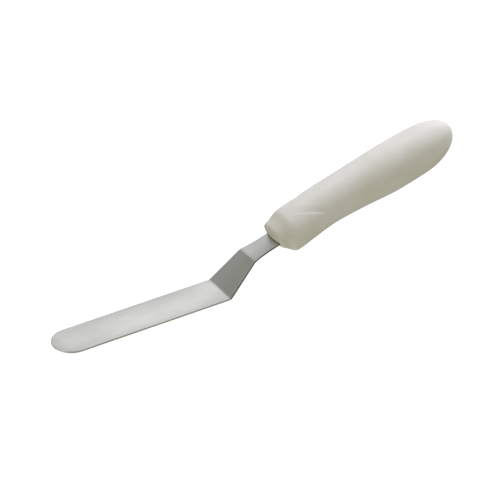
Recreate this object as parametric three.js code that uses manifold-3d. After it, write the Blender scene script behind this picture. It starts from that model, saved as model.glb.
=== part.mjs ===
// Small offset palette knife. A blade, crank, shank and tang are one strip of spring steel, and a
// plastic handle is moulded over the tang. Millimetres: +X runs from the blade's tip to the
// handle's butt, +Z is up, and the underside of the blade lies on z = 0.

import * as THREE from "three";
import { mergeVertices } from "three/addons/utils/BufferGeometryUtils.js";
import Module from "manifold-3d";

const wasm = await Module();
wasm.setup();

// The steel strip, measured from the lower bend between blade and crank.
const STEEL_THICKNESS = 0.9;
const BLADE_LENGTH = 88.9;
const BLADE_WIDTH = 19.05;
const CRANK_RUN = 14.96;
const CRANK_RISE = 13.51;
const BEND_RADIUS = 2.4;
const BEND_STEPS = 8;
const SHANK_TILT = THREE.MathUtils.degToRad(17.06);
const NECK_WIDTH = 13;
const SHANK_WIDTH = 11;
const TIP_STEPS = 40;

// Stations along the shank and handle are measured from the upper bend.
const NECK_CURVE_END = 10;
const SHANK_END = 18;
const TANG_END = 88;
const TANG_END_WIDTH = 8.6;
const TANG_HOLES = [36, 56, 76];
const TANG_HOLE_RADIUS = 2.4;
const TANG_HOLE_STEPS = 32;

// The handle: [station, size] pairs for its top, its underside, its half width and the rise of
// its centre above the shank, each joined by a smooth line.
const HANDLE_NOSE = 14.3;
const HANDLE_BUTT = 117.3;
const NOSE_DOME_LENGTH = 1.6;
const NOSE_DOME_POWER = 2.3;
const NOSE_LEAN = 0.14;
const NOSE_LEAN_END = 21;
const BUTT_DOME_LENGTH = 22.3;
const BUTT_DOME_POWER = 2.1;
const TOP_LINE = [
  [14, 6.4], [18.5, 7.5], [22.3, 9.3], [23.3, 9.55], [34, 10.5], [46, 11.1], [58, 11.1], [80, 11.7],
  [90, 11.1], [99, 10.3], [118, 10.8],
];
const UNDER_LINE = [
  [14, 3.4], [18, 7.2], [21.4, 10.3], [22.4, 10.9], [31, 9.85], [45, 8.4], [60, 9.3], [82, 11.9], [118, 12.3],
];
const HALF_WIDTH_LINE = [[14, 7.1], [18, 7.9], [21.2, 9.15], [26, 9.4], [42, 9.2], [68, 9.7], [118, 9.8]];
const CENTRE_LINE = [[13, 0.7], [40, 0.3], [92, -1.2], [118, -1.2]];
const SECTION_POWER = 2.5;
const SECTION_POINTS = 40;

// The thumb rests: a shallow ramp on each upper side, with a crisp lip below it.
const REST_DEPTH = 0.34;
const REST_START = 23;
const REST_DEEPEST = 37;
const REST_END = 43;
const REST_LIP_START_DEG = 14.5;
const REST_LIP_END_DEG = 58;
const REST_LIP_BLEND_DEG = 6;
const REST_FADE_DEG = 28;

const HANDLE_CLEARANCE = 0.3;
const LIFT = 40;

function steelMaterial() {
  return new THREE.MeshStandardMaterial({ color: 0xc4c6c8, roughness: 0.32, metalness: 1 });
}

function handleMaterial() {
  return new THREE.MeshStandardMaterial({ color: 0xe9e7e0, roughness: 0.6, metalness: 0 });
}

function toManifold(geometry) {
  const bare = geometry.clone();
  bare.deleteAttribute("normal");
  bare.deleteAttribute("uv");
  const merged = mergeVertices(bare, 1e-4);
  return new wasm.Manifold(
    new wasm.Mesh({
      numProp: 3,
      vertProperties: new Float32Array(merged.attributes.position.array),
      triVerts: new Uint32Array(merged.index.array),
    }),
  );
}

function toGeometry(solid) {
  const mesh = solid.getMesh();
  const geometry = new THREE.BufferGeometry();
  geometry.setAttribute("position", new THREE.BufferAttribute(mesh.vertProperties, 3));
  geometry.setIndex(new THREE.BufferAttribute(mesh.triVerts, 1));
  geometry.computeVertexNormals();
  return geometry;
}

// A smooth line through [station, size] points, with no overshoot where it levels out.
function lineAt(points, station) {
  const last = points.length - 1;
  const at = THREE.MathUtils.clamp(station, points[0][0], points[last][0]);
  let i = 0;
  while (i < last - 1 && at > points[i + 1][0]) i += 1;
  const slope = (a, b) => (points[b][1] - points[a][1]) / (points[b][0] - points[a][0]);
  const tangent = (k) => {
    if (k === 0) return slope(0, 1);
    if (k === last) return slope(last - 1, last);
    const before = slope(k - 1, k);
    const after = slope(k, k + 1);
    return before * after <= 0 ? 0 : (2 * before * after) / (before + after);
  };
  const span = points[i + 1][0] - points[i][0];
  const t = (at - points[i][0]) / span;
  const rise = points[i + 1][1] - points[i][1];
  const bend = tangent(i) * span * t * (1 - t) ** 2 - tangent(i + 1) * span * t * t * (1 - t);
  return points[i][1] + rise * t * t * (3 - 2 * t) + bend;
}

// Side view of the strip's middle line: points with the heading of the strip at each.
function stripMiddle() {
  const crankTilt = Math.atan2(CRANK_RISE, CRANK_RUN);
  const middle = STEEL_THICKNESS / 2;
  const corners = [
    { x: 0, z: middle, from: 0, to: crankTilt },
    { x: CRANK_RUN, z: CRANK_RISE + middle, from: crankTilt, to: SHANK_TILT },
  ];
  const samples = [{ x: -BLADE_LENGTH - 1, z: middle, heading: 0 }];
  for (const corner of corners) {
    const turn = corner.to - corner.from;
    const reach = BEND_RADIUS * Math.tan(Math.abs(turn) / 2);
    const side = Math.sign(turn) * BEND_RADIUS;
    const startX = corner.x - reach * Math.cos(corner.from);
    const startZ = corner.z - reach * Math.sin(corner.from);
    const centreX = startX - side * Math.sin(corner.from);
    const centreZ = startZ + side * Math.cos(corner.from);
    for (let i = 0; i <= BEND_STEPS; i += 1) {
      const heading = corner.from + (turn * i) / BEND_STEPS;
      samples.push({
        x: centreX + side * Math.sin(heading),
        z: centreZ - side * Math.cos(heading),
        heading,
      });
    }
  }
  samples.push({
    x: CRANK_RUN + (TANG_END + 1) * Math.cos(SHANK_TILT),
    z: CRANK_RISE + middle + (TANG_END + 1) * Math.sin(SHANK_TILT),
    heading: SHANK_TILT,
  });
  return samples;
}

// The strip seen from the side, as wide as the blade, grown by a clearance on each face.
function stripBar(grow) {
  const half = STEEL_THICKNESS / 2 + grow;
  const middle = stripMiddle();
  const offset = (p, by) => new THREE.Vector2(p.x - by * Math.sin(p.heading), p.z + by * Math.cos(p.heading));
  const top = middle.map((p) => offset(p, half));
  const under = middle.map((p) => offset(p, -half)).reverse();
  const width = BLADE_WIDTH + 2;
  const bar = new THREE.ExtrudeGeometry(new THREE.Shape([...top, ...under]), {
    depth: width,
    bevelEnabled: false,
  });
  bar.rotateX(Math.PI / 2);
  bar.translate(0, width / 2, 0);
  return bar;
}

// The strip seen from above: a round tip, a parallel blade, a tapered crank, a shank that
// narrows in a curve and then runs parallel, and a tapered tang.
function stripPlan(grow) {
  const flat = Math.cos(SHANK_TILT);
  const tipX = -BLADE_LENGTH + BLADE_WIDTH / 2;
  const endRadius = TANG_END_WIDTH / 2;
  const endX = CRANK_RUN + TANG_END * flat - endRadius;
  const shankX = CRANK_RUN + SHANK_END * flat;
  const curveX = CRANK_RUN + NECK_CURVE_END * flat;
  const bendX = (CRANK_RUN + curveX) / 2;
  const shankY = SHANK_WIDTH / 2 + grow;
  const plan = new THREE.Shape();
  plan.absarc(tipX, 0, BLADE_WIDTH / 2 + grow, Math.PI / 2, -Math.PI / 2, false);
  plan.lineTo(0, -BLADE_WIDTH / 2 - grow);
  plan.lineTo(CRANK_RUN, -NECK_WIDTH / 2 - grow);
  plan.quadraticCurveTo(bendX, -shankY, curveX, -shankY);
  plan.lineTo(shankX, -shankY);
  plan.absarc(endX, 0, endRadius + grow, -Math.PI / 2, Math.PI / 2, false);
  plan.lineTo(shankX, shankY);
  plan.lineTo(curveX, shankY);
  plan.quadraticCurveTo(bendX, shankY, CRANK_RUN, NECK_WIDTH / 2 + grow);
  plan.lineTo(0, BLADE_WIDTH / 2 + grow);
  return new THREE.ExtrudeGeometry(plan, {
    depth: 2 * LIFT,
    bevelEnabled: false,
    curveSegments: TIP_STEPS,
  }).translate(0, 0, -LIFT / 2);
}

function stripSolid(grow) {
  return toManifold(stripBar(grow)).intersect(toManifold(stripPlan(grow)));
}

// Puts a shape built along +X at the upper bend onto the tilted shank.
function ontoShank(geometry) {
  geometry.rotateY(-SHANK_TILT);
  return geometry.translate(CRANK_RUN, 0, CRANK_RISE + STEEL_THICKNESS / 2);
}

function tangPost(station, radius, height) {
  const post = new THREE.CylinderGeometry(radius, radius, height, TANG_HOLE_STEPS);
  post.rotateX(Math.PI / 2);
  return toManifold(ontoShank(post.translate(station, 0, 0)));
}

function bladeAndTang() {
  let solid = stripSolid(0);
  for (const station of TANG_HOLES) {
    solid = solid.subtract(tangPost(station, TANG_HOLE_RADIUS, 4 * STEEL_THICKNESS));
  }
  return toGeometry(solid);
}

// How full the handle's section is at a station: 1 along the grip, 0 at each domed end.
function handleFullness(station) {
  const dome = (reach, power) => (1 - THREE.MathUtils.clamp(reach, 0, 1) ** power) ** (1 / power);
  const nose = (HANDLE_NOSE + NOSE_DOME_LENGTH - station) / NOSE_DOME_LENGTH;
  const butt = (station - HANDLE_BUTT + BUTT_DOME_LENGTH) / BUTT_DOME_LENGTH;
  return dome(nose, NOSE_DOME_POWER) * dome(butt, BUTT_DOME_POWER);
}

function thumbRestDepth(station, angleFromTop) {
  const smooth = THREE.MathUtils.smoothstep;
  const along = (station - REST_START) / (REST_DEEPEST - REST_START);
  const lip = THREE.MathUtils.lerp(REST_LIP_START_DEG, REST_LIP_END_DEG, along);
  const above = lip - THREE.MathUtils.radToDeg(angleFromTop);
  const blend = REST_LIP_BLEND_DEG;
  const across = smooth(above, 0, blend) * (1 - smooth(above, blend, REST_FADE_DEG));
  const ramp = smooth(station, REST_START, REST_DEEPEST) * (1 - smooth(station, REST_DEEPEST, REST_END));
  return REST_DEPTH * across * ramp;
}

function handleRing(station) {
  const full = handleFullness(station);
  const top = lineAt(TOP_LINE, station) * full;
  const under = lineAt(UNDER_LINE, station) * full;
  const half = lineAt(HALF_WIDTH_LINE, station) * full;
  const centre = lineAt(CENTRE_LINE, station);
  const lean = NOSE_LEAN * (1 - THREE.MathUtils.smoothstep(station, HANDLE_NOSE, NOSE_LEAN_END));
  const curve = (value) => Math.sign(value) * Math.abs(value) ** (2 / SECTION_POWER);
  const ring = [];
  for (let i = 0; i < SECTION_POINTS; i += 1) {
    const turn = (2 * Math.PI * i) / SECTION_POINTS;
    const y = half * curve(Math.cos(turn));
    const z = curve(Math.sin(turn)) * (Math.sin(turn) > 0 ? top : under);
    const size = Math.hypot(y, z);
    const keep = 1 - thumbRestDepth(station, Math.atan2(Math.abs(y), z)) / size;
    ring.push(new THREE.Vector3(station - lean * z * keep, y * keep, centre + z * keep));
  }
  return ring;
}

// Stations close together in the domed ends and along the thumb rests, wider along the grip.
function handleStations() {
  const stations = [];
  const run = (from, to, steps, ease) => {
    for (let i = 0; i < steps; i += 1) stations.push(from + (to - from) * ease(i / steps));
  };
  const noseEnd = HANDLE_NOSE + NOSE_DOME_LENGTH;
  const buttStart = HANDLE_BUTT - BUTT_DOME_LENGTH;
  run(HANDLE_NOSE + 0.02, noseEnd, 7, (t) => t * t);
  run(noseEnd, REST_START, 8, (t) => t);
  run(REST_START, REST_END + 1, 14, (t) => t);
  run(REST_END + 1, buttStart, 12, (t) => t);
  run(buttStart, HANDLE_BUTT - 0.02, 14, (t) => Math.sin((t * Math.PI) / 2));
  stations.push(HANDLE_BUTT - 0.02);
  return stations;
}

// Skins a stack of rings and closes both ends with a fan.
function loft(rings) {
  const count = rings[0].length;
  const points = rings.flat();
  const index = [];
  for (let r = 0; r < rings.length - 1; r += 1) {
    for (let i = 0; i < count; i += 1) {
      const a = r * count + i;
      const b = r * count + ((i + 1) % count);
      index.push(a, b, b + count, a, b + count, a + count);
    }
  }
  const cap = (ring, start, forward) => {
    const centre = ring.reduce((sum, p) => sum.add(p), new THREE.Vector3()).divideScalar(count);
    points.push(centre);
    for (let i = 0; i < count; i += 1) {
      const a = start + i;
      const b = start + ((i + 1) % count);
      index.push(points.length - 1, forward ? a : b, forward ? b : a);
    }
  };
  cap(rings[0], 0, false);
  cap(rings[rings.length - 1], (rings.length - 1) * count, true);
  const geometry = new THREE.BufferGeometry().setFromPoints(points);
  geometry.setIndex(index);
  return geometry;
}

// The moulding has a pocket that fits the tang, and posts that fill the tang's holes.
function handle() {
  const body = toManifold(ontoShank(loft(handleStations().map(handleRing))));
  let solid = body.subtract(stripSolid(HANDLE_CLEARANCE));
  for (const station of TANG_HOLES) {
    solid = solid.add(tangPost(station, TANG_HOLE_RADIUS - HANDLE_CLEARANCE, 3 * STEEL_THICKNESS));
  }
  return toGeometry(solid);
}

function named(name, geometry, material) {
  const mesh = new THREE.Mesh(geometry, material);
  mesh.name = name;
  return mesh;
}

const knife = new THREE.Group();
knife.name = "offset_palette_knife";
knife.add(named("blade_and_tang", bladeAndTang(), steelMaterial()));
knife.add(named("handle", handle(), handleMaterial()));

// Stand the knife over the middle of its own footprint.
const middle = new THREE.Box3().setFromObject(knife).getCenter(new THREE.Vector3());
for (const mesh of knife.children) mesh.geometry.translate(-middle.x, -middle.y, 0);

export default knife;
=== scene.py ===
"""Small offset palette knife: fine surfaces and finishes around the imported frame.

A strip of spring steel makes the blade, crank, shank and tang, and a white plastic handle is
moulded over the tang. Lengths are in metres, in the frame's own axes: +X runs from the blade's
tip to the butt of the handle, +Y across the blade, and +Z up from the blade's underside.
"""

import logging
import math
from contextlib import contextmanager
from dataclasses import dataclass
from enum import Enum
from typing import Callable, Iterator, Sequence

import bmesh
import bpy
from mathutils import Euler, Matrix, Vector


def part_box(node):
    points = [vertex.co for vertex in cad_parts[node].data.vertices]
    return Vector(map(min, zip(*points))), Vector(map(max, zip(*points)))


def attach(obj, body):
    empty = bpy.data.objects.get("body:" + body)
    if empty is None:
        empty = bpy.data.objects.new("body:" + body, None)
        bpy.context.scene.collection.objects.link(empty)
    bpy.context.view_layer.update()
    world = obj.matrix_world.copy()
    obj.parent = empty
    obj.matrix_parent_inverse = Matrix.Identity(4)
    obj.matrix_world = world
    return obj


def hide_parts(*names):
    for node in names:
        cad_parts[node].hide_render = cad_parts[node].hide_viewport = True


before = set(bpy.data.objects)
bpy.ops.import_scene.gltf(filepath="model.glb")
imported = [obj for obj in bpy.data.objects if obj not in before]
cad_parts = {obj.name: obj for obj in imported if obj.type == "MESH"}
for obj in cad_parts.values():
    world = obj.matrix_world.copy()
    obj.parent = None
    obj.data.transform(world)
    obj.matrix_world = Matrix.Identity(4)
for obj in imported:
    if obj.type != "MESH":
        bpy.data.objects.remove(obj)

MM = 0.001
BODY = "root"
LOG = logging.getLogger("palette_knife")

STRIP_PLACE = "strip_place"
CUT_EDGE = "cut_edge"
ALONG_AXIS = 0.9  # a normal or direction counts as along an axis from this share on
SAME_PLACE = 1e-6  # metres within which two places are the same
FINEST_ROUND_STEPS = 48

Line = Sequence[tuple[float, float]]
Waves = tuple[float, float, float]
Span = tuple[float, float]
Colour = tuple[float, float, float]


# ---------------------------------------------------------------- modelling helpers


def deselect_all() -> None:
    """Leaves object mode with nothing selected."""
    if bpy.context.object and bpy.context.object.mode != "OBJECT":
        bpy.ops.object.mode_set(mode="OBJECT")
    bpy.ops.object.select_all(action="DESELECT")


def make_active(piece: bpy.types.Object) -> None:
    """Selects one object alone and makes it the active one.

    Args:
        piece: The object.
    """
    deselect_all()
    piece.select_set(True)
    bpy.context.view_layer.objects.active = piece


@contextmanager
def editing(piece: bpy.types.Object) -> Iterator[None]:
    """Edit mode on one piece, with nothing selected at the start.

    Args:
        piece: The mesh object to edit.

    Returns:
        A context that goes back to object mode when it ends.
    """
    make_active(piece)
    bpy.ops.object.mode_set(mode="EDIT")
    bpy.ops.mesh.select_all(action="DESELECT")
    yield
    bpy.ops.object.mode_set(mode="OBJECT")


class Pick(Enum):
    """What a selection in edit mode is made of."""

    VERTS = "VERT"
    EDGES = "EDGE"
    FACES = "FACE"


def pick(kind: Pick, test: Callable[..., bool]) -> int:
    """Selects the elements of the edited mesh that pass a test, and nothing else.

    Args:
        kind: Which elements are tested.
        test: Takes a bmesh vertex, edge or face and says whether it is wanted.

    Returns:
        How many were selected.
    """
    bpy.ops.mesh.select_mode(type=kind.value)
    bpy.ops.mesh.select_all(action="DESELECT")
    mesh = bpy.context.edit_object.data
    work = bmesh.from_edit_mesh(mesh)
    group = {Pick.VERTS: work.verts, Pick.EDGES: work.edges, Pick.FACES: work.faces}[kind]
    wanted = [element for element in group if test(element)]
    for element in wanted:
        element.select_set(True)
    work.select_flush_mode()
    bmesh.update_edit_mesh(mesh)
    return len(wanted)


def edge_middle(edge: bmesh.types.BMEdge) -> Vector:
    """The middle point of an edge."""
    return (edge.verts[0].co + edge.verts[1].co) / 2


def edge_direction(edge: bmesh.types.BMEdge) -> Vector:
    """The unit direction of an edge."""
    return (edge.verts[1].co - edge.verts[0].co).normalized()


def apply_modifier(piece: bpy.types.Object, kind: str, **settings: object) -> None:
    """Adds one modifier to a piece and applies it.

    Args:
        piece: The mesh object.
        kind: The modifier's type name.
        **settings: Its properties.
    """
    make_active(piece)
    modifier = piece.modifiers.new(kind.title(), kind)
    for name, value in settings.items():
        setattr(modifier, name, value)
    bpy.ops.object.modifier_apply(modifier=modifier.name)


def cut_away(piece: bpy.types.Object, cutter: bpy.types.Object) -> None:
    """Subtracts one closed mesh from another and removes the cutter.

    Args:
        piece: What is cut.
        cutter: The shape taken out of it.
    """
    apply_modifier(piece, "BOOLEAN", operation="DIFFERENCE", object=cutter, solver="EXACT")
    bpy.data.objects.remove(cutter, do_unlink=True)


def settle(piece: bpy.types.Object) -> None:
    """Moves a piece's place, turn and size into its mesh."""
    make_active(piece)
    bpy.ops.object.transform_apply(location=True, rotation=True, scale=True)


def add_cube(name: str, low: Vector, high: Vector) -> bpy.types.Object:
    """Adds a box between two corners, as a start for a piece.

    Args:
        name: The object's name.
        low: Its lowest corner.
        high: Its highest corner.

    Returns:
        The new object, with its size in its mesh.
    """
    deselect_all()
    bpy.ops.mesh.primitive_cube_add(size=1, location=(low + high) / 2)
    piece = bpy.context.object
    piece.name = name
    piece.data.name = name
    piece.scale = high - low
    settle(piece)
    return piece


def line_at(points: Line, station: float) -> float:
    """The height of a smooth line through [station, size] points, with no overshoot.

    Args:
        points: The points that the line passes through, in order of station.
        station: Where it is read, held between the first and last point.

    Returns:
        The line's size there, in the points' unit.
    """
    last = len(points) - 1
    at = min(max(station, points[0][0]), points[last][0])
    i = 0
    while i < last - 1 and at > points[i + 1][0]:
        i += 1

    def slope(k: int) -> float:
        """The slope of the stretch that starts at point k."""
        return (points[k + 1][1] - points[k][1]) / (points[k + 1][0] - points[k][0])

    def tangent(k: int) -> float:
        """The line's slope at point k.

        Args:
            k: The point's index.

        Returns:
            The slope, 0 where the line turns round.
        """
        if k in (0, last):
            return slope(0 if k == 0 else last - 1)
        before, after = slope(k - 1), slope(k)
        return 0.0 if before * after <= 0 else 2 * before * after / (before + after)

    span = points[i + 1][0] - points[i][0]
    t = (at - points[i][0]) / span
    rise = points[i + 1][1] - points[i][1]
    bend = tangent(i) * span * t * (1 - t) ** 2 - tangent(i + 1) * span * t * t * (1 - t)
    return points[i][1] + rise * t * t * (3 - 2 * t) + bend


def smooth_step(value: float, low: float, high: float) -> float:
    """Rises smoothly from 0 at low to 1 at high."""
    t = min(max((value - low) / (high - low), 0.0), 1.0)
    return t * t * (3 - 2 * t)


# ---------------------------------------------------------------- finishes


class Nodes:
    """A material's node tree, with short calls to add nodes and join them."""

    def __init__(self, name: str) -> None:
        """Starts a node material.

        Args:
            name: The material's name.
        """
        self.material = bpy.data.materials.new(name)
        self.material.use_nodes = True
        self.tree = self.material.node_tree
        self.shader = self.tree.nodes["Principled BSDF"]
        self.coordinates = self.tree.nodes.new("ShaderNodeTexCoord").outputs["Object"]

    def add(self, kind: str, **settings: object) -> bpy.types.Node:
        """Adds a node and sets its properties.

        Args:
            kind: The node's type, without its ShaderNode prefix.
            **settings: Its properties.

        Returns:
            The new node.
        """
        node = self.tree.nodes.new(f"ShaderNode{kind}")
        for name, value in settings.items():
            setattr(node, name, value)
        return node

    def join(self, source: bpy.types.NodeSocket, target: bpy.types.NodeSocket) -> None:
        """Links an output to an input."""
        self.tree.links.new(source, target)

    def follow(self, attribute: str) -> None:
        """Takes the pattern's coordinates from an attribute of the mesh from here on."""
        self.coordinates = self.add("Attribute", attribute_name=attribute).outputs["Vector"]

    def marked(self, attribute: str) -> bpy.types.NodeSocket:
        """A number that the mesh stores for each face corner."""
        return self.add("Attribute", attribute_name=attribute).outputs["Fac"]

    def stretched(self, waves: Waves, turn: float = 0.0) -> bpy.types.NodeSocket:
        """The pattern's coordinates, turned about Z and then multiplied along each axis.

        Args:
            waves: The factor for each axis.
            turn: The angle of the pattern about Z.

        Returns:
            The vector output.
        """
        mapping = self.add("Mapping", vector_type="TEXTURE")
        mapping.inputs["Rotation"].default_value = (0, 0, turn)
        mapping.inputs["Scale"].default_value = tuple(1 / factor for factor in waves)
        self.join(self.coordinates, mapping.inputs["Vector"])
        return mapping.outputs["Vector"]

    def noise(self, waves: Waves, detail: float, turn: float = 0.0) -> bpy.types.NodeSocket:
        """Smooth noise, finer along the axes with the larger factors.

        Args:
            waves: How many waves there are in a metre along each axis.
            detail: How many finer octaves are added.
            turn: The angle of the pattern about Z.

        Returns:
            The noise value, about 0.5 on average.
        """
        texture = self.add("TexNoise")
        texture.inputs["Scale"].default_value = 1.0
        texture.inputs["Detail"].default_value = detail
        self.join(self.stretched(waves, turn), texture.inputs["Vector"])
        return texture.outputs["Fac"]

    def combine(
        self, operation: str, first: bpy.types.NodeSocket, second: bpy.types.NodeSocket | float
    ) -> bpy.types.NodeSocket:
        """Puts two numbers together.

        Args:
            operation: The Math node's operation.
            first: The first number.
            second: The other, from a node or fixed.

        Returns:
            The result.
        """
        node = self.add("Math", operation=operation)
        self.join(first, node.inputs[0])
        if isinstance(second, bpy.types.NodeSocket):
            self.join(second, node.inputs[1])
        else:
            node.inputs[1].default_value = second
        return node.outputs[0]

    def between(
        self, source: bpy.types.NodeSocket, span: Span, to_low: float = 0.0, to_high: float = 1.0
    ) -> bpy.types.NodeSocket:
        """Maps a value from one range to another, held inside it.

        Args:
            source: The value.
            span: The start and end of its range.
            to_low: What the start becomes.
            to_high: What the end becomes.

        Returns:
            The mapped value.
        """
        node = self.add("MapRange", clamp=True)
        node.inputs["From Min"].default_value, node.inputs["From Max"].default_value = span
        node.inputs["To Min"].default_value = to_low
        node.inputs["To Max"].default_value = to_high
        self.join(source, node.inputs["Value"])
        return node.outputs["Result"]

    def mix(
        self,
        factor: bpy.types.NodeSocket,
        first: Sequence[float] | bpy.types.NodeSocket,
        second: Sequence[float] | bpy.types.NodeSocket,
    ) -> bpy.types.NodeSocket:
        """Mixes two colours.

        Args:
            factor: How much of the second shows.
            first: A colour, or a socket that gives one.
            second: The other colour.

        Returns:
            The mixed colour.
        """
        node = self.add("Mix", data_type="RGBA")
        self.join(factor, node.inputs["Factor"])
        for name, colour in (("A", first), ("B", second)):
            socket = next(s for s in node.inputs if s.name == name and s.type == "RGBA")
            if isinstance(colour, bpy.types.NodeSocket):
                self.join(colour, socket)
            else:
                socket.default_value = (*colour, 1.0)
        return next(s for s in node.outputs if s.type == "RGBA")

    def bump(
        self,
        height: bpy.types.NodeSocket,
        depth: float,
        strength: float = 1.0,
        under: bpy.types.NodeSocket | None = None,
    ) -> bpy.types.NodeSocket:
        """A bump from a height value.

        Args:
            height: The height, from 0 to 1.
            depth: How deep a height of 1 is, in metres.
            strength: How much of the bump shows.
            under: The normal of a bump below this one.

        Returns:
            The normal.
        """
        node = self.add("Bump")
        node.inputs["Distance"].default_value = depth
        node.inputs["Strength"].default_value = strength
        self.join(height, node.inputs["Height"])
        if under is not None:
            self.join(under, node.inputs["Normal"])
        return node.outputs["Normal"]


@dataclass(frozen=True)
class SatinSteel:
    """Ground and polished spring steel with grain and fine scratches; its blanked edges are
    rougher, and their colour is darkened as a painted dark reflection.
    """

    bright: Colour = (0.67, 0.67, 0.665)
    dull: Colour = (0.59, 0.59, 0.58)
    streak: Colour = (0.56, 0.56, 0.55)
    # edge: painted dark reflection, the cut edges' colour darkened to stand for the dim
    # surroundings that they mirror, on top of their duller sheared steel
    edge: Colour = (0.17, 0.17, 0.165)
    smoothest: float = 0.27
    roughest: float = 0.37
    hazy: float = 0.05
    edge_rough: float = 0.14
    grain_waves: Waves = (90, 9000, 9000)
    grain_span: Span = (0.3, 0.7)
    grain_depth: float = 0.0000012
    cloud_waves: Waves = (35, 60, 60)
    cloud_span: Span = (0.35, 0.65)
    streak_waves: Waves = (11, 750, 750)
    streak_span: Span = (0.45, 0.75)
    streak_share: float = 0.35
    haze_waves: Waves = (28, 34, 34)
    haze_span: Span = (0.45, 0.7)
    scratch_waves: Waves = (22, 2300, 2300)
    scratch_span: Span = (0.69, 0.73)
    scratch_depth: float = 0.0000016
    scratch_strength: float = 0.6
    scratch_turns: tuple[float, ...] = (0.0, 0.32, -0.55)

    def make(self) -> bpy.types.Material:
        """Builds the node material.

        Returns:
            The material.
        """
        nodes = Nodes("satin_steel")
        nodes.follow(STRIP_PLACE)
        grain = nodes.noise(self.grain_waves, detail=4)
        cloud = nodes.noise(self.cloud_waves, detail=2)
        streaks = nodes.noise(self.streak_waves, detail=2)
        blanked_and_dark_reflection = nodes.marked(CUT_EDGE)
        flat = nodes.mix(nodes.between(cloud, self.cloud_span), self.bright, self.dull)
        drawn_share = nodes.between(streaks, self.streak_span, 0, self.streak_share)
        drawn = nodes.mix(drawn_share, flat, self.streak)
        # The cut edges are mixed towards the dark edge colour: a painted dark reflection as well as
        # duller blanked steel.
        nodes.join(nodes.mix(blanked_and_dark_reflection, drawn, self.edge), nodes.shader.inputs["Base Color"])
        hazes = nodes.noise(self.haze_waves, detail=3)
        haze = nodes.between(hazes, self.haze_span, 0, self.hazy)
        satin = nodes.between(grain, self.grain_span, self.smoothest, self.roughest)
        rough = nodes.combine("ADD", satin, haze)
        edge = nodes.combine("MULTIPLY", blanked_and_dark_reflection, self.edge_rough)
        nodes.join(nodes.combine("ADD", rough, edge), nodes.shader.inputs["Roughness"])
        normal = nodes.bump(grain, self.grain_depth)
        for turn in self.scratch_turns:
            scratches = nodes.noise(self.scratch_waves, detail=1, turn=turn)
            line = nodes.between(scratches, self.scratch_span, 1, 0)
            normal = nodes.bump(line, self.scratch_depth, self.scratch_strength, normal)
        nodes.join(normal, nodes.shader.inputs["Normal"])
        nodes.shader.inputs["Metallic"].default_value = 1.0
        return nodes.material


@dataclass(frozen=True)
class MouldedPlastic:
    """Off-white polypropylene: a fine moulded grain, mottling, rubbed scuffs and a greyer nose."""

    nose_x: float
    clean: Colour = (0.805, 0.795, 0.75)
    aged: Colour = (0.74, 0.73, 0.665)
    speck: Colour = (0.60, 0.57, 0.49)
    # nose_grey: the plastic is tinted greyer towards the nose, strongest where the steel comes out
    nose_grey: Colour = (0.60, 0.58, 0.50)
    nose_grey_reach: float = 9.0 * MM
    nose_grey_share: float = 0.75
    patch_waves: Waves = (260, 260, 260)
    patch_span: Span = (0.3, 0.65)
    patch_least: float = 0.45
    roughness_low: float = 0.42
    roughness_high: float = 0.55
    rubbed: float = -0.09
    refraction: float = 1.49
    cloud_waves: Waves = (70, 90, 90)
    cloud_span: Span = (0.35, 0.7)
    speck_waves: Waves = (900, 900, 900)
    speck_span: Span = (0.78, 0.84)
    speck_share: float = 0.3
    grain_waves: Waves = (1500, 1500, 1500)
    grain_span: Span = (0.3, 0.7)
    grain_depth: float = 0.000035
    ripple_waves: Waves = (120, 160, 160)
    ripple_depth: float = 0.00012
    scuff_waves: Waves = (60, 1300, 1300)
    scuff_span: Span = (0.62, 0.72)
    scuff_depth: float = 0.000012
    bump_strength: float = 0.5

    def make(self) -> bpy.types.Material:
        """Builds the node material.

        Returns:
            The material.
        """
        nodes = Nodes("moulded_plastic")
        strength = self.bump_strength
        cloud = nodes.noise(self.cloud_waves, detail=3)
        grain = nodes.noise(self.grain_waves, detail=2)
        ripple = nodes.noise(self.ripple_waves, detail=1)
        specks = nodes.noise(self.speck_waves, detail=0)
        body = nodes.mix(nodes.between(cloud, self.cloud_span), self.clean, self.aged)
        fleck_share = nodes.between(specks, self.speck_span, 0, self.speck_share)
        flecked = nodes.mix(fleck_share, body, self.speck)
        # Greyer towards the nose, where the steel comes out.
        colour = nodes.mix(self._nose_share(nodes), flecked, self.nose_grey)
        nodes.join(colour, nodes.shader.inputs["Base Color"])
        scuffs = nodes.between(nodes.noise(self.scuff_waves, detail=2), self.scuff_span)
        matt = nodes.between(grain, self.grain_span, self.roughness_low, self.roughness_high)
        worn = nodes.combine("MULTIPLY", scuffs, self.rubbed)
        nodes.join(nodes.combine("ADD", matt, worn), nodes.shader.inputs["Roughness"])
        slow = nodes.bump(ripple, self.ripple_depth, strength)
        dented = nodes.combine("SUBTRACT", grain, scuffs)
        scuffed = nodes.bump(dented, self.scuff_depth, strength, slow)
        grained = nodes.bump(grain, self.grain_depth, strength, scuffed)
        nodes.join(grained, nodes.shader.inputs["Normal"])
        nodes.shader.inputs["IOR"].default_value = self.refraction
        return nodes.material

    def _nose_share(self, nodes: Nodes) -> bpy.types.NodeSocket:
        """How much greyer the plastic is: most where the steel comes out, and patchy as it fades.

        Args:
            nodes: The material's node tree.

        Returns:
            The share, from 0 to 1.
        """
        split = nodes.add("SeparateXYZ")
        nodes.join(nodes.coordinates, split.inputs[0])
        reach_end = self.nose_x + self.nose_grey_reach
        near = nodes.between(split.outputs["X"], (self.nose_x, reach_end), self.nose_grey_share, 0)
        patches = nodes.noise(self.patch_waves, detail=3)
        patchy = nodes.between(patches, self.patch_span, self.patch_least, 1)
        return nodes.combine("MULTIPLY", near, patchy)


# ---------------------------------------------------------------- the steel strip


@dataclass(frozen=True)
class Section:
    """One cross-section of the strip on its way from the blade to the tang."""

    x: float
    z: float
    heading: float
    half_width: float


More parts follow.
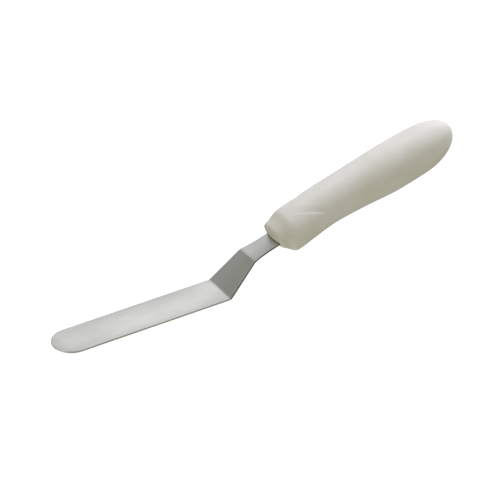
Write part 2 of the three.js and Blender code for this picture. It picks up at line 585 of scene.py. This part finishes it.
@dataclass
class SteelStrip:
    """The blade, crank, shank and tang, bent from one strip.

    Args:
        tip_x: Where the blade's tip is in the frame.
        length: The blade's length, from its tip to the lower bend.
        width: The blade's width.
        thickness: The steel's thickness.
        crank_run: How far the crank reaches along X.
        crank_rise: How far it rises.
        bend_radius: The radius of both bends, at the middle of the steel.
        bend_steps: How many sections each bend takes.
        shank_tilt: The shank's slope.
        neck_width: The width at the upper bend.
        neck_curve: How far along the shank the narrowing curve ends.
        neck_steps: How many sections the curve takes.
        shank_reach: Where the shank turns into the tang.
        shank_width: The width where the shank is parallel.
        tang_reach: Where the tang ends.
        tang_end_width: The tang's width there.
        tang_holes: Where the locking holes are.
        hole_radius: Their radius.
        tip_steps: How many faces round each half of the tip.
        tip_round: How near to a full half circle the tip is.
        tang_steps: How many faces round each corner of the tang's end.
        tang_round: How near to a full half circle the tang's end is.
        edge_round: The rounding along every cut edge.
        edge_angle: The least angle between faces that counts as a cut edge.
        smooth_angle: The largest angle between faces that are shaded as one.
        weld: How close two points are when they are made one.
        side_normal: How far sideways a face points when it belongs to the cut side.
        blade_edge_mark: How much of the blanked finish, with its painted dark reflection, the
            blade's ground edge keeps.
    """

    tip_x: float
    length: float = 88.9 * MM
    width: float = 19.05 * MM
    thickness: float = 0.9 * MM
    crank_run: float = 14.96 * MM
    crank_rise: float = 13.51 * MM
    bend_radius: float = 2.4 * MM
    bend_steps: int = 10
    shank_tilt: float = math.radians(17.06)
    neck_width: float = 13.0 * MM
    neck_curve: float = 10.0 * MM
    neck_steps: int = 7
    shank_reach: float = 18.0 * MM
    shank_width: float = 11.0 * MM
    tang_reach: float = 87.9 * MM
    tang_end_width: float = 8.6 * MM
    tang_holes: tuple[float, ...] = (36.0 * MM, 56.0 * MM, 76.0 * MM)
    hole_radius: float = 2.4 * MM
    tip_steps: int = 28
    tip_round: float = 0.9995
    tang_steps: int = 12
    tang_round: float = 0.999
    edge_round: float = 0.14 * MM
    edge_angle: float = math.radians(50)
    smooth_angle: float = math.radians(25)
    weld: float = 1e-7
    side_normal: float = 0.5
    blade_edge_mark: float = 0.2

    @property
    def bend_x(self) -> float:
        """Where the blade's line meets the crank's."""
        return self.tip_x + self.length

    @property
    def shank_start(self) -> Vector:
        """The middle of the upper bend, where stations along the shank and handle start."""
        return Vector((self.bend_x + self.crank_run, 0, self.crank_rise + self.thickness / 2))

    def on_shank(self, station: float) -> Vector:
        """The strip's middle at a station along the shank."""
        along = Vector((math.cos(self.shank_tilt), 0, math.sin(self.shank_tilt)))
        return self.shank_start + along * station

    def half_width_at(self, x: float) -> float:
        """Half the strip's width, which tapers on the crank, the neck and the tang.

        Args:
            x: The place along the frame's X axis.

        Returns:
            Half the width there.
        """
        crank_share = (x - self.bend_x) / self.crank_run
        if crank_share < 1:
            return (self.width + (self.neck_width - self.width) * max(crank_share, 0.0)) / 2
        station = (x - self.shank_start.x) / math.cos(self.shank_tilt)
        if station < self.shank_reach:
            left = max(1 - station / self.neck_curve, 0.0)
            return (self.shank_width + (self.neck_width - self.shank_width) * left * left) / 2
        tang_share = (station - self.shank_reach) / (self.tang_reach - self.shank_reach)
        return (self.shank_width + (self.tang_end_width - self.shank_width) * tang_share) / 2

    def sections(self) -> list[Section]:
        """The strip's cross-sections from the lower bend to the end of the tang.

        Returns:
            The sections in order, the first where the lower bend starts.
        """
        crank_tilt = math.atan2(self.crank_rise, self.crank_run)
        middle = self.thickness / 2
        places: list[tuple[float, float, float]] = []
        corners = (
            (Vector((self.bend_x, 0, middle)), 0.0, crank_tilt),
            (self.shank_start, crank_tilt, self.shank_tilt),
        )
        for corner, start, end in corners:
            reach = self.bend_radius * math.tan(abs(end - start) / 2)
            side = math.copysign(self.bend_radius, end - start)
            x0 = corner.x - reach * math.cos(start) - side * math.sin(start)
            z0 = corner.z - reach * math.sin(start) + side * math.cos(start)
            for i in range(self.bend_steps + 1):
                heading = start + (end - start) * i / self.bend_steps
                x = x0 + side * math.sin(heading)
                z = z0 - side * math.cos(heading)
                places.append((x, z, heading))
        curve = [self.neck_curve * (i + 1) / self.neck_steps for i in range(self.neck_steps)]
        for station in (*curve, self.shank_reach, self.tang_reach):
            point = self.on_shank(station)
            places.append((point.x, point.z, self.shank_tilt))
        return [Section(x, z, heading, self.half_width_at(x)) for x, z, heading in places]

    def build(self) -> bpy.types.Object:
        """Models the strip.

        Returns:
            The finished piece, with no material yet.
        """
        sections = self.sections()
        half = self.width / 2
        low, high = Vector((self.tip_x, -half, 0)), Vector((sections[0].x, half, self.thickness))
        strip = add_cube("steel_strip", low, high)
        with editing(strip):
            self._round_tip()
            self._sweep(sections)
            self._round_tang()
        self._punch(strip)
        apply_modifier(
            strip,
            "BEVEL",
            width=self.edge_round,
            segments=2,
            limit_method="ANGLE",
            angle_limit=self.edge_angle,
        )
        with editing(strip):
            bpy.ops.mesh.select_all(action="SELECT")
            bpy.ops.mesh.remove_doubles(threshold=self.weld)
        make_active(strip)
        bpy.ops.object.shade_smooth_by_angle(angle=self.smooth_angle)
        self._store_places(strip)
        self._mark_cut_edges(strip)
        return strip

    def _round_tip(self) -> None:
        """Bevels the two upright edges of the blade's end into one half circle."""
        near_tip = self.tip_x + self.thickness
        pick(
            Pick.EDGES,
            lambda e: abs(edge_direction(e).z) > ALONG_AXIS and edge_middle(e).x < near_tip,
        )
        round_size = self.width / 2 * self.tip_round
        bpy.ops.mesh.bevel(offset=round_size, segments=self.tip_steps, affect="EDGES")

    def _sweep(self, sections: list[Section]) -> None:
        """Extrudes the blade's end face through every section.

        Args:
            sections: The sections, the first where the face is now.
        """
        pick(Pick.FACES, lambda f: f.normal.x > ALONG_AXIS)
        for before, after in zip(sections, sections[1:]):
            step = Vector((after.x - before.x, 0, after.z - before.z))
            bpy.ops.mesh.extrude_region_move(TRANSFORM_OT_translate={"value": step})
            centre = (after.x, 0, after.z)
            if after.heading != before.heading:
                bpy.ops.transform.rotate(
                    value=after.heading - before.heading, orient_axis="Y", center_override=centre
                )
            grow = after.half_width / before.half_width
            bpy.ops.transform.resize(value=(1, grow, 1), center_override=centre)

    def _round_tang(self) -> None:
        """Rounds the two corners at the end of the tang."""
        near_end = self.on_shank(self.tang_reach).x - self.thickness
        pick(
            Pick.EDGES,
            lambda e: abs(edge_direction(e).z) > ALONG_AXIS and edge_middle(e).x > near_end,
        )
        round_size = self.tang_end_width / 2 * self.tang_round
        bpy.ops.mesh.bevel(offset=round_size, segments=self.tang_steps, affect="EDGES")

    def _store_places(self, strip: bpy.types.Object) -> None:
        """Stores each point's place along and across the strip, which the grain follows.

        Args:
            strip: The finished piece.
        """
        crank_length = math.hypot(self.crank_run, self.crank_rise)
        places = strip.data.attributes.new(STRIP_PLACE, "FLOAT_VECTOR", "POINT")
        for vertex, place in zip(strip.data.vertices, places.data):
            past_bend = vertex.co.x - self.bend_x
            past_neck = past_bend - self.crank_run
            if past_neck > 0:
                along = crank_length + past_neck / math.cos(self.shank_tilt)
            elif past_bend > 0:
                along = past_bend * crank_length / self.crank_run
            else:
                along = past_bend
            place.vector = (along, vertex.co.y, 0)

    def _mark_cut_edges(self, strip: bpy.types.Object) -> None:
        """Marks the blanked side faces, which are rougher and painted darker as a painted dark
        reflection: in part along the ground blade, and fully beyond it.

        Args:
            strip: The finished piece.
        """
        marks = strip.data.attributes.new(CUT_EDGE, "FLOAT", "CORNER")
        for face in strip.data.polygons:
            on_blade = face.center.x < self.bend_x
            upright = abs(face.normal.z) < self.side_normal
            if abs(face.normal.y) > self.side_normal or (on_blade and upright):
                for corner in face.loop_indices:
                    marks.data[corner].value = self.blade_edge_mark if on_blade else 1.0

    def _punch(self, strip: bpy.types.Object) -> None:
        """Punches the locking holes through the tang.

        Args:
            strip: The piece that is cut.
        """
        for station in self.tang_holes:
            deselect_all()
            bpy.ops.mesh.primitive_cylinder_add(
                vertices=FINEST_ROUND_STEPS,
                radius=self.hole_radius,
                depth=4 * self.thickness,
                location=self.on_shank(station),
                rotation=(0, -self.shank_tilt, 0),
            )
            cut_away(strip, bpy.context.object)


# ---------------------------------------------------------------- the handle


@dataclass
class MouldedHandle:
    """The plastic handle. Stations and heights are in millimetres along and above the shank.

    Args:
        strip: The steel that it is moulded over.
        nose: Where its front face stands.
        butt: Where it ends.
        nose_dome: The length and power of the rounding at the nose.
        butt_dome: The same at the butt.
        nose_lean: How far the front face leans forward at the top, as a slope.
        nose_lean_end: Where the sections stand square again.
        collar_start: Where the sections stand closer, before the collar's crest.
        guard_end: Where they open out again, behind the finger guard.
        end_insets: How far inside the nose and the butt the first and last section stand.
        top: Its height above its centre line.
        under: Its depth below its centre line.
        half_width: Half its width.
        centre: The rise of its centre line above the shank.
        slab_thickness: How thick the slab is that the handle is extruded from.
        corner_round: The rounding of a section's corners, as a share of its half size.
        corner_steps: How many faces round each corner has.
        rest_depth: How deep the thumb rests are.
        rest_start: Where they begin.
        rest_deepest: Where they are deepest.
        rest_end: Where they end.
        rest_margin: How far behind their end the sections start to stand wider apart.
        rest_lip: How many degrees from the top their lip is, where they begin and are deepest.
        rest_blend: How many degrees the lip's slope takes.
        rest_fade: How many degrees above the lip they have faded out.
        seam_height: How high the mould line stands.
        seam_half_width: Half its width.
        smooth_angle: The largest angle between faces that are shaded as one.
        weld: How close two points are when they are made one, in metres.
        pocket_gap: The gap round the tang.
        flare_depth: How far behind the nose the pocket starts to flare.
        flare_length: How long the flare is.
        flare_growth: How much wider and taller the flare makes the pocket.
    """

    strip: SteelStrip
    nose: float = 14.3
    butt: float = 117.2
    nose_dome: tuple[float, float] = (1.6, 2.3)
    butt_dome: tuple[float, float] = (22.2, 2.1)
    nose_lean: float = 0.14
    nose_lean_end: float = 21.0
    collar_start: float = 20.6
    guard_end: float = 23.8
    end_insets: Span = (0.04, 0.05)
    top: Line = (
        (14, 6.4), (18.5, 7.5), (22.3, 9.3), (23.3, 9.55), (34, 10.5), (46, 11.1), (58, 11.1),
        (80, 11.7), (90, 11.1), (99, 10.3), (118, 10.8),
    )
    under: Line = (
        (14, 3.4), (18, 7.2), (21.4, 10.3), (22.4, 10.9), (31, 9.85), (45, 8.4), (60, 9.3),
        (82, 11.9), (118, 12.3),
    )
    half_width: Line = (
        (14, 7.1), (18, 7.9), (21.2, 9.15), (26, 9.4), (42, 9.2), (68, 9.7), (118, 9.8),
    )
    centre: Line = ((13, 0.7), (40, 0.3), (92, -1.2), (118, -1.2))
    slab_thickness: float = 0.02
    corner_round: float = 0.826
    corner_steps: int = 11
    rest_depth: float = 0.34
    rest_start: float = 23.0
    rest_deepest: float = 37.0
    rest_end: float = 43.0
    rest_margin: float = 0.8
    rest_lip: tuple[float, float] = (14.5, 58.0)
    rest_blend: float = 4.5
    rest_fade: float = 28.0
    seam_height: float = 0.02
    seam_half_width: float = 0.13
    smooth_angle: float = math.radians(32)
    weld: float = 1e-6
    pocket_gap: float = 0.3
    flare_depth: float = 1.4
    flare_length: float = 2.2
    flare_growth: tuple[float, float] = (1.02, 1.9)

    def fullness(self, station: float) -> float:
        """How full the section is at a station.

        Args:
            station: The place along the handle.

        Returns:
            From 1, along the grip, to 0, at each domed end.
        """

        def dome(reach: float, power: float) -> float:
            """The dome's share of its full size at a reach of 0, inside, to 1, its end."""
            return (1 - min(max(reach, 0.0), 1.0) ** power) ** (1 / power)

        nose_length, nose_power = self.nose_dome
        butt_length, butt_power = self.butt_dome
        nose = (self.nose + nose_length - station) / nose_length
        butt = (station - self.butt + butt_length) / butt_length
        return dome(nose, nose_power) * dome(butt, butt_power)

    def stations(self) -> list[float]:
        """Where the sections stand: close in the domed ends, wider along the grip.

        Returns:
            The stations in order. Each run below has a start, an end, a count and a spacing.
        """
        nose_end = self.nose + self.nose_dome[0]
        butt_start = self.butt - self.butt_dome[0]
        collar, guard = self.collar_start, self.guard_end
        rest_over = self.rest_end + self.rest_margin
        nose_inset, butt_inset = self.end_insets
        runs = (
            (self.nose + nose_inset, nose_end, 5, lambda t: t * t),
            (nose_end, collar, 5, lambda t: t),
            (collar, guard, 6, lambda t: t),
            (guard, rest_over, 14, lambda t: t),
            (rest_over, butt_start, 15, lambda t: t),
            (butt_start, self.butt - butt_inset, 13, lambda t: math.sin(t * math.pi / 2)),
        )
        found: list[float] = []
        for start, end, count, ease in runs:
            found.extend(start + (end - start) * ease(i / count) for i in range(count))
        return [*found, runs[-1][1]]

    def build(self) -> bpy.types.Object:
        """Models the handle.

        Returns:
            The finished piece, with no material yet.
        """
        handle = self._section_slab()
        with editing(handle):
            self._sweep()
        apply_modifier(handle, "SUBSURF", levels=2, render_levels=2)
        self._press_thumb_rests(handle)
        self._raise_seam(handle)
        self._onto_shank(handle)
        cut_away(handle, self._pocket())
        with editing(handle):
            bpy.ops.mesh.select_all(action="SELECT")
            bpy.ops.mesh.remove_doubles(threshold=self.weld)
        make_active(handle)
        bpy.ops.object.shade_smooth_by_angle(angle=self.smooth_angle)
        return handle

    def _section_slab(self) -> bpy.types.Object:
        """A thin slab with the handle's rounded section, at the first station.

        Returns:
            The slab, of unit size across.
        """
        first = self.stations()[0] * MM
        front = first - self.slab_thickness * MM
        slab = add_cube("handle", Vector((front, -1, -1)), Vector((first, 1, 1)))
        with editing(slab):
            pick(Pick.EDGES, lambda e: abs(edge_direction(e).x) > ALONG_AXIS)
            bpy.ops.mesh.bevel(offset=self.corner_round, segments=self.corner_steps, affect="EDGES")
        return slab

    def _sizes(self, station: float) -> tuple[float, float, float, float]:
        """The sizes of one section, in metres.

        Args:
            station: The place along the handle.

        Returns:
            Its top, its underside, half its width and the height of its centre.
        """
        full = self.fullness(station) * MM
        return (
            line_at(self.top, station) * full,
            line_at(self.under, station) * full,
            line_at(self.half_width, station) * full,
            line_at(self.centre, station) * MM,
        )

    def _sweep(self) -> None:
        """Sizes the slab for the nose, then extrudes its back face through every station."""
        stations = self.stations()
        top, under, half, centre = self._sizes(stations[0])
        bpy.ops.mesh.select_all(action="SELECT")
        bpy.ops.transform.resize(value=(1, half, 1), center_override=(0, 0, 0))
        self._scale_half(above=True, factor=top, centre=0.0)
        self._scale_half(above=False, factor=under, centre=0.0)
        bpy.ops.mesh.select_all(action="SELECT")
        bpy.ops.transform.translate(value=(0, 0, centre))
        pick(Pick.FACES, lambda f: f.normal.x > ALONG_AXIS)
        for before, after in zip(stations, stations[1:]):
            last, now = self._sizes(before), self._sizes(after)
            step = ((after - before) * MM, 0, now[3] - last[3])
            bpy.ops.mesh.extrude_region_move(TRANSFORM_OT_translate={"value": step})
            bpy.ops.transform.resize(value=(1, now[2] / last[2], 1), center_override=(0, 0, now[3]))
            at = after * MM
            self._scale_half(True, now[0] / last[0], now[3], at)
            self._scale_half(False, now[1] / last[1], now[3], at)
            pick(
                Pick.FACES,
                lambda f: (
                    f.normal.x > ALONG_AXIS and abs(f.calc_center_median().x - at) < SAME_PLACE
                ),
            )
        self._lean_nose(stations)

    def _lean_nose(self, stations: list[float]) -> None:
        """Leans the nose's front face forward at the top, by turning each section near it.

        Args:
            stations: Where the sections stand.
        """
        for station in stations:
            lean = self.nose_lean * (1 - smooth_step(station, self.nose, self.nose_lean_end))
            if lean <= 0:
                break
            at = station * MM
            reach = 1.5 * self.slab_thickness * MM if station == stations[0] else SAME_PLACE
            pick(Pick.VERTS, lambda v: abs(v.co.x - at) < reach)
            centre = (at, 0, line_at(self.centre, station) * MM)
            bpy.ops.transform.rotate(value=math.atan(lean), orient_axis="Y", center_override=centre)

    def _scale_half(
        self, above: bool, factor: float, centre: float, at: float | None = None
    ) -> None:
        """Scales the part of a section above or below its centre.

        Args:
            above: Whether the upper half is scaled.
            factor: How much its height grows.
            centre: The height of the section's centre.
            at: The section's place along X, or None for every section.
        """
        side = 1 if above else -1
        pick(
            Pick.VERTS,
            lambda v: (
                (v.co.z - centre) * side > 0 and (at is None or abs(v.co.x - at) < SAME_PLACE)
            ),
        )
        bpy.ops.transform.resize(value=(1, 1, factor), center_override=(0, 0, centre))

    def rest_share(self, point: Vector) -> float:
        """How deep the thumb rest is at a point, as a share of its full depth.

        Args:
            point: A point on the handle before it is put on the shank, in metres.

        Returns:
            From 0, off the rest, to 1, at its deepest.
        """
        station = point.x / MM
        rise = point.z / MM - line_at(self.centre, station)
        angle = math.degrees(math.atan2(abs(point.y) / MM, rise))
        along = (station - self.rest_start) / (self.rest_deepest - self.rest_start)
        above = self.rest_lip[0] + (self.rest_lip[1] - self.rest_lip[0]) * along - angle
        across = smooth_step(above, 0, self.rest_blend)
        across *= 1 - smooth_step(above, self.rest_blend, self.rest_fade)
        ramp = smooth_step(station, self.rest_start, self.rest_deepest)
        return across * ramp * (1 - smooth_step(station, self.rest_deepest, self.rest_end))

    def _displace(
        self, handle: bpy.types.Object, share: Callable[[Vector], float], height: float
    ) -> None:
        """Moves the surface along its normals by a height times each point's share.

        Args:
            handle: The piece.
            share: Gives each point's share, from 0 to 1.
            height: The full move in millimetres, negative for inwards.
        """
        group = handle.vertex_groups.new(name="share")
        for vertex in handle.data.vertices:
            weight = share(vertex.co)
            if weight > 0:
                group.add([vertex.index], weight, "REPLACE")
        apply_modifier(
            handle, "DISPLACE", strength=height * MM, mid_level=0.0, vertex_group="share"
        )
        handle.vertex_groups.clear()

    def _press_thumb_rests(self, handle: bpy.types.Object) -> None:
        """Presses the shallow ramp of a thumb rest into each upper side."""
        self._displace(handle, self.rest_share, -self.rest_depth)

    def _raise_seam(self, handle: bpy.types.Object) -> None:
        """Raises the hair-thin line where the mould's halves met, all round the middle plane."""
        with editing(handle):
            for offset in (-self.seam_half_width, 0.0, self.seam_half_width):
                bpy.ops.mesh.select_all(action="SELECT")
                bpy.ops.mesh.bisect(plane_co=(0, offset * MM, 0), plane_no=(0, 1, 0))
        self._displace(handle, lambda point: float(abs(point.y) < 2 * SAME_PLACE), self.seam_height)

    def _onto_shank(self, piece: bpy.types.Object) -> None:
        """Turns and moves a piece from stations along X onto the tilted shank.

        Args:
            piece: The handle or the pocket.
        """
        piece.rotation_euler = Euler((0, -self.strip.shank_tilt, 0))
        piece.location = self.strip.shank_start
        settle(piece)

    def _pocket(self) -> bpy.types.Object:
        """The space for the tang, with a flared mouth and posts through the tang's holes.

        Returns:
            The closed shape to cut away, already on the shank.
        """
        strip = self.strip
        gap = self.pocket_gap * MM
        half_thick = strip.thickness / 2 + gap
        mouth = (self.nose + self.flare_depth) * MM
        end = strip.tang_reach + gap
        width = strip.shank_width / 2 + gap
        low, high = Vector((mouth, -width, -half_thick)), Vector((end, width, half_thick))
        pocket = add_cube("pocket", low, high)
        with editing(pocket):
            pick(Pick.FACES, lambda f: f.normal.x > ALONG_AXIS)
            narrow = (strip.tang_end_width / 2 + gap) / width
            bpy.ops.transform.resize(value=(1, narrow, 1), center_override=(end, 0, 0))
            pick(Pick.FACES, lambda f: f.normal.x < -ALONG_AXIS)
            flare = (-self.flare_length * MM, 0, 0)
            bpy.ops.mesh.extrude_region_move(TRANSFORM_OT_translate={"value": flare})
            wider, taller = self.flare_growth
            bpy.ops.transform.resize(value=(1, wider, taller), center_override=(mouth, 0, 0))
        for station in strip.tang_holes:
            deselect_all()
            bpy.ops.mesh.primitive_cylinder_add(
                vertices=FINEST_ROUND_STEPS,
                radius=strip.hole_radius - gap,
                depth=8 * half_thick,
                location=(station, 0, 0),
            )
            cut_away(pocket, bpy.context.object)
        self._onto_shank(pocket)
        return pocket


# ---------------------------------------------------------------- the studio


@dataclass(frozen=True)
class Softbox:
    """A square softbox that faces the knife.

    Args:
        name: Its name.
        azimuth: Its direction from +X towards +Y.
        elevation: Its direction above the floor.
        distance: How far it stands from the knife, in metres.
        size: The length of its side, in metres.
        power: Its power in watts.
        colour: The tint of its light.
    """

    name: str
    azimuth: float
    elevation: float
    distance: float
    size: float
    power: float
    colour: Colour


@dataclass(frozen=True)
class Glow:
    """Light from the surroundings, by how near a direction is to one axis.

    Args:
        towards: The axis, as a unit vector.
        stops: Pairs of a cosine with the axis and the colour there.
    """

    towards: tuple[float, float, float]
    stops: tuple[tuple[float, Colour], ...]


@dataclass(frozen=True)
class Studio:
    """The pale floor, the soft light, the surroundings and the camera.

    Args:
        floor_size: The floor's width in metres.
        floor_drop: How far the floor lies under the blade.
        floor_waves: The waves of its grain in a metre.
        floor_dark: The darker tint of its grain.
        floor_light: The lighter tint of its grain.
        floor_glow: Its own light, which keeps it pale.
        key: The one softbox, which reflections don't show.
        behind: The surroundings: bright behind the blade on the right, dim and warm elsewhere.
        bounce: Light thrown back at the nose from beyond the blade's tip.
        camera_azimuth: Where the camera stands, from -Y towards +X.
        camera_elevation: How high it stands.
        camera_distance: How far it is from the heel of the blade, in metres.
        lens: Its focal length in millimetres.
        sensor: Its sensor's width in millimetres.
        clip: The nearest and farthest distance that it sees, in metres.
        aim_right: How far its axis points to the right of the heel, as a slope.
        aim_up: How far its axis points above the heel, as a slope.
    """

    floor_size: float = 6.0
    floor_drop: float = 0.1 * MM
    floor_waves: Waves = (3, 3, 3)
    floor_dark: Colour = (0.30, 0.30, 0.30)
    floor_light: Colour = (0.31, 0.31, 0.31)
    floor_glow: float = 0.88
    key: Softbox = Softbox(
        "key_softbox", math.radians(11), math.radians(59.5), 1.6, 1.1, 15.6, (0.95, 0.94, 1.12)
    )
    behind: Glow = Glow(
        (0.555, 0.62, 0.555),
        (
            (0.0, (0.485, 0.472, 0.39)),
            (0.44, (0.34, 0.34, 0.32)),
            (0.7, (0.46, 0.46, 0.45)),
            (0.86, (0.68, 0.68, 0.675)),
            (0.97, (1.17, 1.17, 1.16)),
        ),
    )
    bounce: Glow = Glow((-0.956, 0.0, -0.293), ((0.75, (0.0, 0.0, 0.0)), (1.0, (0.8, 0.79, 0.76))))
    camera_azimuth: float = math.radians(-31.67)
    camera_elevation: float = math.radians(33.31)
    camera_distance: float = 2.0
    lens: float = 311.04
    sensor: float = 36.0
    clip: Span = (0.1, 20)
    aim_right: float = 0.0069375
    aim_up: float = 0.008969907407407407

    def build(self, blade_heel: Vector) -> None:
        """Sets up the floor, the light, the surroundings and the camera.

        Args:
            blade_heel: The middle of the lower bend on the blade's top face, which the
                camera's distance is measured from.
        """
        self._floor()
        self._light(self.key)
        self._surroundings()
        self._camera(blade_heel)
        bpy.context.scene.view_settings.view_transform = "Standard"

    def _floor(self) -> None:
        """A plain pale floor just under the blade, which adds no light of its own to the knife."""
        deselect_all()
        bpy.ops.mesh.primitive_plane_add(size=self.floor_size, location=(0, 0, -self.floor_drop))
        floor = bpy.context.object
        floor.name = "floor"
        floor.visible_diffuse = False
        floor.visible_glossy = False
        nodes = Nodes("pale_floor")
        grain = nodes.noise(self.floor_waves, detail=2)
        tint = nodes.mix(grain, self.floor_dark, self.floor_light)
        nodes.join(tint, nodes.shader.inputs["Base Color"])
        nodes.shader.inputs["Roughness"].default_value = 1.0
        nodes.shader.inputs["Specular IOR Level"].default_value = 0.0
        nodes.shader.inputs["Emission Color"].default_value = (1, 1, 1, 1)
        nodes.shader.inputs["Emission Strength"].default_value = self.floor_glow
        floor.data.materials.append(nodes.material)

    def _light(self, box: Softbox) -> None:
        """Adds a softbox.

        Args:
            box: Its place, size and light.
        """
        level = math.cos(box.elevation)
        out = Vector(
            (math.cos(box.azimuth) * level, math.sin(box.azimuth) * level, math.sin(box.elevation))
        )
        data = bpy.data.lights.new(box.name, "AREA")
        data.size = box.size
        data.energy = box.power
        data.color = box.colour
        light = bpy.data.objects.new(box.name, data)
        light.location = out * box.distance
        light.rotation_euler = out.to_track_quat("Z", "Y").to_euler()
        light.visible_glossy = False
        bpy.context.scene.collection.objects.link(light)

    def _surroundings(self) -> None:
        """Lights the world with the sum of the two glows."""
        world = bpy.data.worlds.new("studio")
        bpy.context.scene.world = world
        world.use_nodes = True
        tree = world.node_tree
        background = tree.nodes["Background"]
        direction = tree.nodes.new("ShaderNodeTexCoord").outputs["Generated"]
        lobes = []
        for glow in (self.behind, self.bounce):
            facing = tree.nodes.new("ShaderNodeVectorMath")
            facing.operation = "DOT_PRODUCT"
            facing.inputs[1].default_value = glow.towards
            tree.links.new(direction, facing.inputs[0])
            ramp = tree.nodes.new("ShaderNodeValToRGB")
            for index, (place, colour) in enumerate(glow.stops):
                elements = ramp.color_ramp.elements
                element = elements[index] if index < 2 else elements.new(place)
                element.position = place
                element.color = (*colour, 1)
            tree.links.new(facing.outputs["Value"], ramp.inputs["Fac"])
            lobes.append(ramp.outputs["Color"])
        total = tree.nodes.new("ShaderNodeVectorMath")
        total.operation = "ADD"
        for socket, lobe in zip(total.inputs, lobes):
            tree.links.new(lobe, socket)
        tree.links.new(total.outputs["Vector"], background.inputs["Color"])

    def _camera(self, blade_heel: Vector) -> None:
        """Places the camera.

        Args:
            blade_heel: The point that its distance is measured from.
        """
        turn, rise = self.camera_azimuth, self.camera_elevation
        level = math.cos(rise)
        back = Vector((math.sin(turn) * level, -math.cos(turn) * level, math.sin(rise)))
        right = Vector((math.cos(turn), math.sin(turn), 0))
        up = back.cross(right)
        aim = -back + right * self.aim_right + up * self.aim_up
        data = bpy.data.cameras.new("camera")
        data.lens = self.lens
        data.sensor_width = self.sensor
        data.clip_start, data.clip_end = self.clip
        camera = bpy.data.objects.new("camera", data)
        camera.location = blade_heel + back * self.camera_distance
        camera.rotation_euler = aim.to_track_quat("-Z", "Y").to_euler()
        bpy.context.scene.collection.objects.link(camera)
        bpy.context.scene.camera = camera


# ---------------------------------------------------------------- putting it together


def hand_over(piece: bpy.types.Object, material: bpy.types.Material, node: str) -> None:
    """Dresses a piece and lets it stand for its CAD node.

    Args:
        piece: The finished mesh.
        material: Its finish.
        node: The CAD node that it replaces.
    """
    piece.data.materials.clear()
    piece.data.materials.append(material)
    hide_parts(node)
    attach(piece, BODY)
    LOG.info("%s: %d faces, stands for %s", piece.name, len(piece.data.polygons), node)


def main() -> None:
    """Builds the knife and the studio round it."""
    logging.basicConfig(level=logging.INFO, format="%(name)s: %(message)s")
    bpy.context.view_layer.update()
    strip = SteelStrip(tip_x=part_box("blade_and_tang")[0].x)
    hand_over(strip.build(), SatinSteel().make(), "blade_and_tang")
    plastic = MouldedPlastic(nose_x=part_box("handle")[0].x)
    hand_over(MouldedHandle(strip).build(), plastic.make(), "handle")
    Studio().build(Vector((strip.bend_x, 0, strip.thickness)))
    bpy.context.view_layer.update()


if __name__ == "__main__":
    main()
